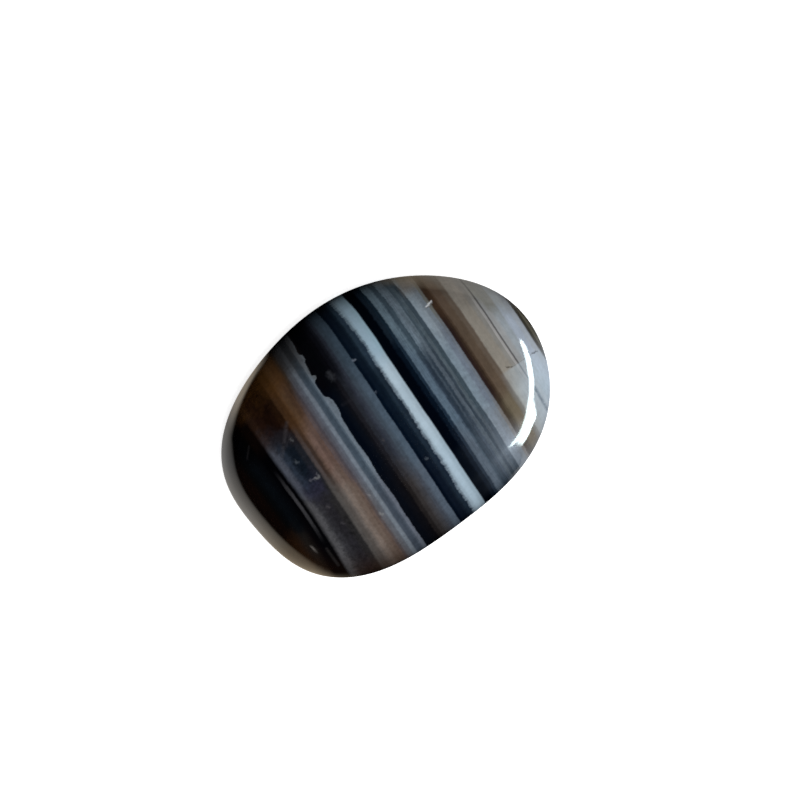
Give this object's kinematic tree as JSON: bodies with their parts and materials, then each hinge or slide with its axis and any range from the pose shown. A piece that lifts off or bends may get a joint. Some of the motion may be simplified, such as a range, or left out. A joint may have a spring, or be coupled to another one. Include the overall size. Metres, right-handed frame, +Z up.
{
  "type": "sulemani agate cabochon",
  "caption": "Polished oval cabochon of banded black, white, brown and slate-grey agate, with a high smooth dome, a low side wall and a flat bevelled back to rest on or set by.",
  "frame": {"origin": "under the middle of the stone's box, on the plane of its flat back", "axes": "+X along the stone's length towards the pale grey and brown end, +Y across it, +Z up out of the dome's crown"},
  "size_m": [0.018, 0.0136, 0.0054],
  "materials": {
    "banded_agate": "high polish, straight bands of black, dark brown, reddish brown, slate grey, white and grey-beige right through the stone"
  },
  "bodies": {
    "root": {"agate_cabochon": "banded_agate"}
  },
  "joints": []
}
